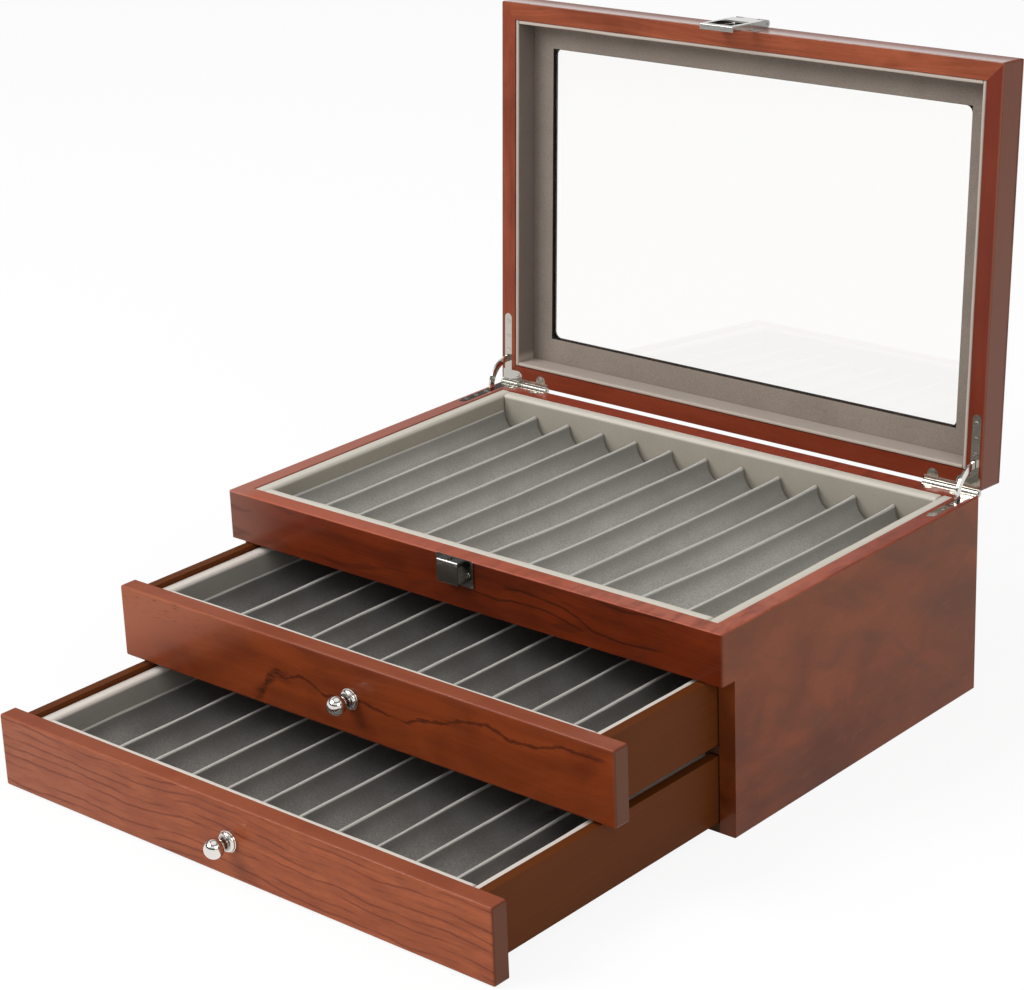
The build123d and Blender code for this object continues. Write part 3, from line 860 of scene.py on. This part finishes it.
def side_figure(sheet, along, across):
    """Smoky, slanting clouds and small flecks."""
    slant = across + along * 0.35
    smoke = sheet.fade(sheet.noise(along * 0.014, slant * 0.034, 2.0, 3.0, 0.55, 0.5), 0.46, 0.70)
    fleck = sheet.fade(sheet.noise(along * 0.16, across * 0.42, 7.0, 2.0, 0.6), 0.62, 0.74)
    warm = sheet.fade(sheet.noise(along * 0.10, across * 0.22, 11.0, 3.0, 0.6), 0.56, 0.70)
    return [(smoke * 0.5, rgb(0.095, 0.032, 0.014)), (warm * 0.16, rgb(0.33, 0.095, 0.036)),
            (fleck * 0.35, rgb(0.12, 0.022, 0.008))]


def side_painted_light(sheet, x, y, z):
    """The sides browner and lighter towards the top and the back, after the light in the photograph."""
    return sheet.fade(z, 20, 110) * 0.4 + sheet.fade(y, -60, 110) * 0.15, rgb(0.255, 0.073, 0.022)


def fascia_painted_light(sheet, x, y, z):
    """The left end of the fascia paler, after the light in the photograph."""
    return sheet.fade(x, -122, -172), rgb(0.20, 0.075, 0.05)


def upper_painted_light(sheet, x, y, z):
    """The left end of the upper front paler behind a slanting line, after the light in the photograph."""
    slanted = x - (z - 75) * 2.2
    return sheet.fade(slanted, -62, -150), rgb(0.335, 0.098, 0.045)


def lower_painted_light(sheet, x, y, z):
    """The lower front paler towards the left, after the light in the photograph."""
    return sheet.fade(x, 40, -175) * 0.7, rgb(0.32, 0.105, 0.055)


def rail_fading(sheet, x, y, z):
    """Both outer sides browner than the rim, and the right rail deeper than the left."""
    outside = sheet.fade(abs(x), 168.2, 169.4)
    right = sheet.fade(x, 0, 100) * 0.8
    tone = sheet.mix(outside, rgb(0.150, 0.020, 0.008), rgb(0.19, 0.068, 0.040))
    return right.at_least(outside * 0.95), tone


def hasp_rail_face(sheet, x, y, z):
    """The outer face of the rail that carries the hasp: 1 at the rim, fading to 0 towards the lid's top."""
    return sheet.fade(z, *hasp_rail_top)


def end_rail_tint_and_painted_highlight(sheet, x, y, z):
    """The hinge rail deeper; the hasp's rail paler and browner outside at the rim, a painted highlight."""
    outside = hasp_rail_face(sheet, x, y, z)
    # painted highlight: the hasp's rail paler outside, at the rim
    tone = sheet.mix(outside, rgb(0.155, 0.018, 0.005), rgb(0.30, 0.115, 0.070))
    return (sheet.fade(z, 300, 150) * 0.7).at_least(outside), tone


def dull_waists(sheet, x, y, z):
    """The narrow necks of both knobs, where polish never reaches."""
    upper = sheet.fade(abs(y - upper_front + knob_waist), 1.6, 0.9)
    lower = sheet.fade(abs(y - lower_front + knob_waist), 1.6, 0.9)
    return upper.at_least(lower)


def shaded_drawer_velvet(name, level, back, share):
    """A drawer insert's velvet, darker than the tray's as painted shade, darkest at the back as painted
    shadow.
    """
    return velvet(name, rgb(0.37, 0.355, 0.333), rgb(0.185, 0.178, 0.166), seed=5.0,
                  stains_and_painted_light=pale_crests_and_painted_shade(level, crest_pile, painted_wall_shade=rgb(0.14, 0.134, 0.122), back=back, share=share,
                                   deep=rgb(0.075, 0.07, 0.065)))


def drawer_cloth(name, top):
    """The cloth of a drawer's padding, with painted light along its top."""
    return velvet(name, rgb(0.32, 0.305, 0.27), rgb(0.24, 0.225, 0.20), seed=4.0, speck=0.07, sheen=0.2,
                  stains_and_painted_light=pale_top_painted_light(top, rgb(0.80, 0.74, 0.67)))


plain_light = rgb(0.22, 0.052, 0.016)
plain_deep = rgb(0.095, 0.020, 0.006)
crest_pile = rgb(0.70, 0.68, 0.63)

case_side = veneer("case_side_veneer", grain_back, rgb(0.240, 0.052, 0.012), rgb(0.120, 0.023, 0.005),
                   seed=3.1, bands=0.1, clouds=0.85, pores=0.1, streaks=0.15, figure=side_figure,
                   edges=top_lipping_and_painted_highlight, tint_and_painted_light=side_painted_light)
case_rear = veneer("case_back_veneer", grain_right, plain_light, plain_deep,
                   seed=8.3, bands=0.5, clouds=0.4, pores=0.3, edges=top_lipping_and_painted_highlight)
fascia_veneer = veneer("fascia_veneer", grain_right, rgb(0.160, 0.023, 0.004), rgb(0.075, 0.010, 0.002),
                       seed=1.7, bands=0.4, clouds=0.5, pores=0.3, figure=fascia_figure, edges=top_lipping_and_painted_highlight,
                       tint_and_painted_light=fascia_painted_light)
upper_veneer = veneer("upper_drawer_veneer", grain_right, rgb(0.232, 0.043, 0.009), rgb(0.108, 0.018, 0.004),
                      seed=5.9, bands=0.3, clouds=0.5, pores=0.3, streaks=0.35, figure=upper_front_figure,
                      edges=front_edges(upper_front_top, rgb(0.120, 0.040, 0.015)), tint_and_painted_light=upper_painted_light)
lower_veneer = veneer("lower_drawer_veneer", grain_right, rgb(0.39, 0.100, 0.036), rgb(0.22, 0.048, 0.015),
                      seed=9.4, bands=0.35, clouds=0.25, pores=0.4, streaks=0.4, band_width=4.2,
                      figure=lower_front_figure, tint_and_painted_light=lower_painted_light,
                      edges=front_edges(lower_front_top, rgb(0.12, 0.035, 0.013)))
lid_side = veneer("lid_side_veneer", grain_lid_back, rgb(0.30, 0.065, 0.028), rgb(0.13, 0.021, 0.008),
                  seed=6.6, bands=0.5, clouds=0.4, pores=0.35, tint_and_painted_light=rail_fading)
lid_end = veneer("lid_end_veneer", grain_lid_right, rgb(0.38, 0.095, 0.040), rgb(0.16, 0.031, 0.011),
                 seed=2.9, bands=0.5, clouds=0.4, pores=0.35, tint_and_painted_light=end_rail_tint_and_painted_highlight, lacquer=hasp_rail_face)
lid_face = veneer("lid_face_veneer", grain_right, plain_light, plain_deep,
                  seed=4.4, bands=0.5, clouds=0.5, pores=0.3,
                  edges=dark_window_edge(rgb(0.008, 0.007, 0.005)))
box_side = plain_wood("drawer_side_wood", grain_back, rgb(0.145, 0.040, 0.009), rgb(0.100, 0.026, 0.006),
                      seed=2.2)
inner_board = plain_wood("inner_board_wood", grain_right, rgb(0.085, 0.045, 0.022), rgb(0.055, 0.028, 0.013),
                         seed=6.0, roughness=0.6)
# In the pen velvets, painted shade lies on the walls and a painted shadow towards the back
tray_velvet = velvet("tray_velvet", rgb(0.62, 0.595, 0.555), rgb(0.36, 0.345, 0.318), seed=1.0,
                     stains_and_painted_light=pale_crests_and_painted_shade(tray_crest, crest_pile, painted_wall_shade=rgb(0.26, 0.25, 0.225), back=(20, 95),
                                      share=0.55, deep=rgb(0.22, 0.21, 0.19)))
upper_shaded_velvet = shaded_drawer_velvet("upper_drawer_shaded_velvet", upper_crest, back=(-160, -125), share=0.5)
lower_shaded_velvet = shaded_drawer_velvet("lower_drawer_shaded_velvet", lower_crest, back=(-236, -205), share=0.45)
tray_cloth = velvet("tray_lining_cloth", rgb(0.40, 0.365, 0.305), rgb(0.31, 0.285, 0.235),
                    seed=4.0, speck=0.07, sheen=0.2, stains_and_painted_light=pale_top_painted_light(tray_padding_top, rgb(0.70, 0.66, 0.575)))
upper_cloth = drawer_cloth("upper_lining_cloth", upper_padding_top)
lower_cloth = drawer_cloth("lower_lining_cloth", lower_padding_top)
mat_velvet = velvet("mat_velvet", rgb(0.31, 0.258, 0.217), rgb(0.21, 0.174, 0.146), seed=7.0,
                    stains_and_painted_light=dark_window_edge(rgb(0.008, 0.008, 0.006)))
lid_cloth = velvet("lid_lining_cloth", rgb(0.30, 0.250, 0.212), rgb(0.205, 0.170, 0.143), seed=7.0,
                   stains_and_painted_light=lid_strip_painted_light)
hinge_metal = polished("hinge_plating", rgb(0.52, 0.50, 0.45), roughness=0.12)
stay_metal = polished("stay_plating", rgb(0.74, 0.72, 0.67), roughness=0.11)
# The hasp and catch plating is tinted darker, a painted dark reflection
hasp_metal_painted_dark = polished("hasp_plating_painted_dark", rgb(0.52, 0.51, 0.48), roughness=0.13)
knob_metal = polished("knob_plating", rgb(0.80, 0.77, 0.72), roughness=0.08, tarnish=dull_waists)
window_glass = clear_glass()

dress(case_side, "left_panel", "right_panel")
dress(case_rear, "back_panel")
dress(fascia_veneer, "fascia")
dress(upper_veneer, "upper_drawer_front")
dress(lower_veneer, "lower_drawer_front")
dress(lid_side, "lid_left_rail", "lid_right_rail")
dress(lid_end, "lid_front_rail", "lid_back_rail")
dress(lid_face, "lid_top_panel")
dress(inner_board, "drawer_divider", "tray_floor", "bottom_board")
for drawer in ("upper_drawer", "lower_drawer"):
    dress(box_side, f"{drawer}_left_side", f"{drawer}_right_side", f"{drawer}_back")
    dress(inner_board, f"{drawer}_bottom")
dress(hinge_metal, "left_case_leaf", "right_case_leaf", "left_lid_leaf", "right_lid_leaf", "left_hinge_pin",
      "right_hinge_pin")
dress(stay_metal, "left_stay", "right_stay")
dress(hasp_metal_painted_dark, "catch", "hasp_plate", "hasp_pin", "hasp_flap")
dress(window_glass, "lid_glass")

# Soft pieces

pen_insert("tray_pen_channels", "tray_insert", tray_channels, tray_velvet, "case",
           seed=1.3, lean=tray_lean, growth=2.6)
pen_insert("upper_pen_channels", "upper_drawer_insert", drawer_channels, upper_shaded_velvet, "upper_drawer",
           seed=4.9, lean=upper_lean)
pen_insert("lower_pen_channels", "lower_drawer_insert", drawer_channels, lower_shaded_velvet, "lower_drawer",
           seed=8.2, lean=lower_lean)
box_lining("tray_padding", "tray_lining", tray_padding, tray_cloth, "case", seed=2.0)
box_lining("upper_drawer_padding", "upper_drawer_lining", drawer_padding, upper_cloth, "upper_drawer",
           seed=14.0)
box_lining("lower_drawer_padding", "lower_drawer_lining", drawer_padding, lower_cloth, "lower_drawer",
           seed=27.0)
window_mat(mat_velvet)
lid_strips = lining(lid_inner_half_width, -lid_inner_half_depth, lid_inner_half_depth,
                    rim_level + lid_padding_drop, panel_level - mat_thickness - soft_gap,
                    lid_padding, round_edge=0.8, seed=40.0, shown_up=False, turn=opened)
add_piece("lid_padding", lid_strips, lid_cloth, "velvet", "lid", "lid_lining", sharp=60)

# Knobs and screws

turned_knob("upper_turned_knob", "upper_drawer", knob_metal)
turned_knob("lower_turned_knob", "lower_drawer", knob_metal)
for side, sign in (("left", -1), ("right", 1)):
    for body, face, up in (("case", case_top + leaf_screw_rise, 1), ("lid", rim_level - leaf_screw_rise, -1)):
        places = [((sign * arm_middle, pin_depth - away, face), (0, 0, up)) for away in arm_screws]
        places += [((sign * across, pin_depth - leaf_screw_setback, face), (0, 0, up))
                   for across in leaf_screws]
        add_screws(f"{side}_{body}_leaf_screws", places, hinge_screw_radius, hinge_screw_proud, hinge_metal,
                   body, opened if body == "lid" else None)
add_screws("catch_plate_screws",
           plate_screw_places(catch_screw_spread, case_front - catch_sheet, case_top - catch_screw_drop),
           plate_screw_radius, plate_screw_proud, hinge_metal, "case")
add_screws("hasp_plate_screws",
           plate_screw_places(hasp_screw_spread, case_front - hasp_plate_thickness,
                              rim_level + hasp_screw_rise),
           plate_screw_radius, plate_screw_proud, hinge_metal, "lid", opened)


# Table, light and camera

def add_lamp(name, place, aim, width, height, power):
    """A rectangular lamp, its power in watts."""
    light = bpy.data.lights.new(name, "AREA")
    light.shape = "RECTANGLE"
    light.size = width
    light.size_y = height
    light.energy = power
    lamp = bpy.data.objects.new(name, light)
    lamp.location = place
    lamp.rotation_euler = (Vector(aim) - Vector(place)).to_track_quat("-Z", "Y").to_euler()
    bpy.context.scene.collection.objects.link(lamp)


def seen(sheet, far=0):
    """1 for what is seen directly, mirrored or through glass; far is the share lost where it is mirrored."""
    path = sheet.node("ShaderNodeLightPath").socket.node.outputs
    glossy = Number(sheet, path["Is Glossy Ray"]) * (1 - far)
    return Number(sheet, path["Is Camera Ray"]).at_least(glossy).at_least(
        Number(sheet, path["Is Transmission Ray"]))


def white_table():
    """A wide white disc that glows where it is seen, and reflects as plain white elsewhere."""
    finish, sheet = new_finish("table_white")
    x, y, z = sheet.place()
    mottle = sheet.noise(x * 0.002, y * 0.002, z, 2.0)
    far = sheet.fade((x * x + y * y).root(), 1000, 1500) * 0.95
    diffuse = sheet.node("ShaderNodeBsdfDiffuse", inputs={
        "Color": sheet.mix(mottle, rgb(0.84, 0.84, 0.84), rgb(0.86, 0.86, 0.86)), "Roughness": 0.5})
    glow = sheet.node("ShaderNodeEmission", inputs={"Color": rgb(1, 1, 1), "Strength": 1.03})
    blend = sheet.node("ShaderNodeMixShader", inputs={0: seen(sheet, far) * 0.86, 1: diffuse, 2: glow})
    sheet.node("ShaderNodeOutputMaterial", inputs={"Surface": blend})
    mesh = bpy.data.meshes.new("table")
    steps = 96
    reach = 9.0
    rim = [(reach * math.cos(2 * math.pi * s / steps), reach * math.sin(2 * math.pi * s / steps), 0)
           for s in range(steps)]
    mesh.from_pydata(rim, [], [tuple(range(steps))])
    mesh.materials.append(finish)
    table = bpy.data.objects.new("table", mesh)
    bpy.context.scene.collection.objects.link(table)


def white_room():
    """White all round as seen, dimmer as light; glossy surfaces also find a low and a high dark band."""
    world = bpy.data.worlds.new("white_room")
    world.use_nodes = True
    bpy.context.scene.world = world
    sheet = Sheet(world.node_tree)
    point = sheet.node("ShaderNodeTexCoord", output="Generated")
    parts = sheet.node("ShaderNodeSeparateXYZ", inputs={0: point}).socket.node.outputs
    level = Number(sheet, parts["Z"])
    path = sheet.node("ShaderNodeLightPath").socket.node.outputs
    glossy = Number(sheet, path["Is Glossy Ray"])
    low = sheet.fade(level, 0.18, 0.26) * sheet.fade(level, 0.60, 0.45) * 0.9
    high = sheet.fade(level, 0.70, 0.76) * sheet.fade(level, 0.93, 0.87) * 0.75
    strength = 0.45 + seen(sheet) * 0.55 - glossy * (low + high)
    back = sheet.node("ShaderNodeBackground", inputs={"Color": rgb(1, 1, 1), "Strength": strength})
    sheet.node("ShaderNodeOutputWorld", inputs={"Surface": back})


def photograph_camera():
    """The camera that was fitted to the box's edges in the photograph."""
    data = bpy.data.cameras.new("camera")
    data.lens = camera_lens
    data.sensor_width = 36.0
    data.clip_start = 0.05
    camera = bpy.data.objects.new("camera", data)
    turn = (Matrix.Rotation(math.radians(camera_yaw), 4, "Z")
            @ Matrix.Rotation(math.radians(90 - camera_pitch), 4, "X")
            @ Matrix.Rotation(math.radians(camera_roll), 4, "Z"))
    camera.matrix_world = Matrix.Translation(camera_place) @ turn
    bpy.context.scene.collection.objects.link(camera)
    bpy.context.scene.camera = camera


white_table()
white_room()
add_lamp("key_lamp", (-1.1, -1.6, 1.7), aim=(0, -0.05, 0.12), width=1.4, height=1.1, power=42)
add_lamp("side_lamp", (1.9, -0.8, 1.3), aim=(0, 0, 0.12), width=1.2, height=1.0, power=11)
photograph_camera()
bpy.context.scene.view_settings.view_transform = "Standard"
